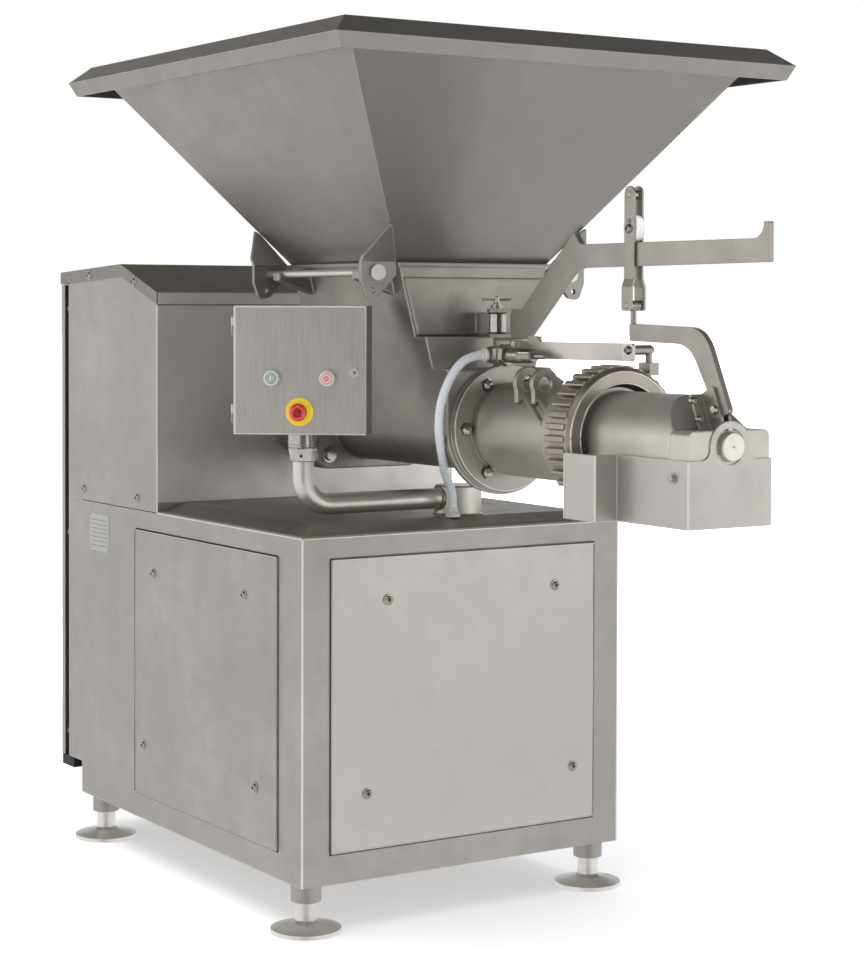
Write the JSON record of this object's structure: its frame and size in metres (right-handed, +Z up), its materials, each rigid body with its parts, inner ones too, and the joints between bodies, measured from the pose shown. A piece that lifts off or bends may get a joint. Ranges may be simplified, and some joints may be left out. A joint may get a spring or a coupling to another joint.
{
  "type": "meat grinder",
  "caption": "Floor-standing stainless meat grinder: belt-driven feed screw in a trough, ring nut, tilting hopper, sliding discharge bridge and a swivelling control box.",
  "frame": {"origin": "on the floor in the middle of the four feet", "axes": "+Z up, +X the way the meat comes out, -Y the operator's side"},
  "size_m": [2.25, 1.152, 1.893],
  "materials": {
    "sheet": "fine bead-blasted stainless",
    "dark_sheet": "fine bead-blasted stainless",
    "machined": "turned stainless",
    "bright": "polished",
    "paint": "satin enamel",
    "castings": "painted casting",
    "rubber": "matt",
    "nylon": "satin",
    "hose": "smooth",
    "gland": "satin",
    "green": "smooth",
    "pink": "smooth",
    "white": "smooth",
    "yellow": "satin",
    "red": "smooth",
    "black": "satin"
  },
  "bodies": {
    "grinder": {"cabinet_shell": "sheet", "left_panel": "sheet", "right_panel": "sheet", "front_panel": "sheet", "panel_screws": "bright", "table_top": "sheet", "levelling_feet": "machined", "machine_frame": "dark_sheet", "rear_housing": "sheet", "housing_lid": "dark_sheet", "rear_cover": "sheet", "rear_buffer": "rubber", "motor": "paint", "drive_belts": "rubber", "gearbox": "castings", "trough": "machined", "shaft_seal": "nylon", "trough_bolts": "bright", "barrel": "machined", "grinding_plate": "machined", "crane_arm": "machined", "crane_pivot_pin": "bright", "lock_bracket": "machined", "ring_sensor": "machined", "sensor_hose": "hose", "hose_gland": "gland", "hinge_rod": "bright", "conduit_pedestal": "machined", "conduit_pipe": "machined", "swivel_base": "bright"},
    "feed": {"feed_screw": "machined", "drive_shaft": "machined", "knife": "machined"},
    "gearbox_pulley": {"gearbox_pulley": "castings"},
    "motor_pulley": {"motor_pulley": "castings"},
    "hopper": {"hopper": "sheet"},
    "release_rod": {"release_rod": "bright"},
    "bridge": {"bridge_housing": "machined", "bridge_pin": "bright", "discharge_guard": "sheet", "bridge_fasteners": "bright", "lifting_arm": "machined", "arm_bracket": "machined", "trolley_straps": "machined", "trolley_bolts": "bright"},
    "ring_nut": {"ring_nut": "machined"},
    "roller": {"trolley_roller": "nylon"},
    "ring_lock": {"ring_lock_strap": "machined", "ring_lock_block": "machined"},
    "t_handle": {"t_handle": "bright"},
    "control_box": {"swivel_cap": "bright", "control_box": "sheet"},
    "box_door": {"box_door": "sheet", "button_bezels": "white", "estop_collar": "yellow"},
    "door_latch": {"door_latch": "bright"},
    "start_button": {"start_button": "green"},
    "stop_button": {"stop_button": "pink"},
    "estop_stem": {"estop_stem": "black"},
    "estop_button": {"estop_button": "red"}
  },
  "joints": [
    {"name": "screw_turn", "type": "hinge", "parent": "grinder", "child": "feed", "pos_m": [0, 0, 1.074], "axis": [1, 0, 0], "continuous": true},
    {"name": "gearbox_input_turn", "type": "hinge", "parent": "grinder", "child": "gearbox_pulley", "pos_m": [0, 0, 1.074], "axis": [1, 0, 0], "continuous": true},
    {"name": "motor_turn", "type": "hinge", "parent": "grinder", "child": "motor_pulley", "pos_m": [0, 0, 0.345], "axis": [1, 0, 0], "continuous": true},
    {"name": "hopper_tilt", "type": "hinge", "parent": "grinder", "child": "hopper", "pos_m": [0.35, 0.252, 1.405], "axis": [-1, 0, 0], "range_deg": [0, 60]},
    {"name": "release_rod_slide", "type": "slide", "parent": "hopper", "child": "release_rod", "axis": [1, 0, 0], "range_m": [0, 0.48]},
    {"name": "bridge_slide", "type": "slide", "parent": "grinder", "child": "bridge", "axis": [1, 0, 0], "range_m": [0, 0.28]},
    {"name": "ring_turn", "type": "hinge", "parent": "bridge", "child": "ring_nut", "pos_m": [0, 0, 1.074], "axis": [1, 0, 0], "continuous": true},
    {"name": "roller_turn", "type": "hinge", "parent": "bridge", "child": "roller", "pos_m": [1.155, 0, 1.4873], "axis": [0, 1, 0], "range_deg": [0, 594.18]},
    {"name": "ring_lock_swing", "type": "hinge", "parent": "grinder", "child": "ring_lock", "pos_m": [0.752, 0, 1.24], "axis": [0, 0, 1], "range_deg": [0, 80]},
    {"name": "t_handle_turn", "type": "hinge", "parent": "grinder", "child": "t_handle", "pos_m": [0.678, 0, 1.34], "axis": [0, 0, 1], "continuous": true},
    {"name": "control_box_swivel", "type": "hinge", "parent": "grinder", "child": "control_box", "pos_m": [0.436, -0.34, 1.05], "axis": [0, 0, 1], "range_deg": [-60, 38]},
    {"name": "box_door_swing", "type": "hinge", "parent": "control_box", "child": "box_door", "pos_m": [0.37175, -0.47698, 1.196], "axis": [0, 0, -1], "range_deg": [0, 110]},
    {"name": "door_latch_turn", "type": "hinge", "parent": "box_door", "child": "door_latch", "pos_m": [0.54805, -0.2778, 1.192], "axis": [0.788, -0.6157, 0], "range_deg": [0, 90]},
    {"name": "start_press", "type": "slide", "parent": "box_door", "child": "start_button", "axis": [-0.788, 0.6157, 0], "range_m": [0, 0.0035], "stiffness_N_per_m": 300},
    {"name": "stop_press", "type": "slide", "parent": "box_door", "child": "stop_button", "axis": [-0.788, 0.6157, 0], "range_m": [0, 0.0035], "stiffness_N_per_m": 300},
    {"name": "estop_press", "type": "slide", "parent": "box_door", "child": "estop_stem", "axis": [-0.788, 0.6157, 0], "range_m": [0, 0.005]},
    {"name": "estop_twist", "type": "hinge", "parent": "estop_stem", "child": "estop_button", "pos_m": [0.49116, -0.3831, 1.107], "axis": [0.788, -0.6157, 0], "range_deg": [0, 45]}
  ],
  "couplings": [
    {"joint": "gearbox_input_turn", "follows": "screw_turn", "ratio": 8},
    {"joint": "motor_turn", "follows": "screw_turn", "ratio": 15},
    {"joint": "roller_turn", "follows": "bridge_slide", "rad_per_m": 37.037}
  ]
}
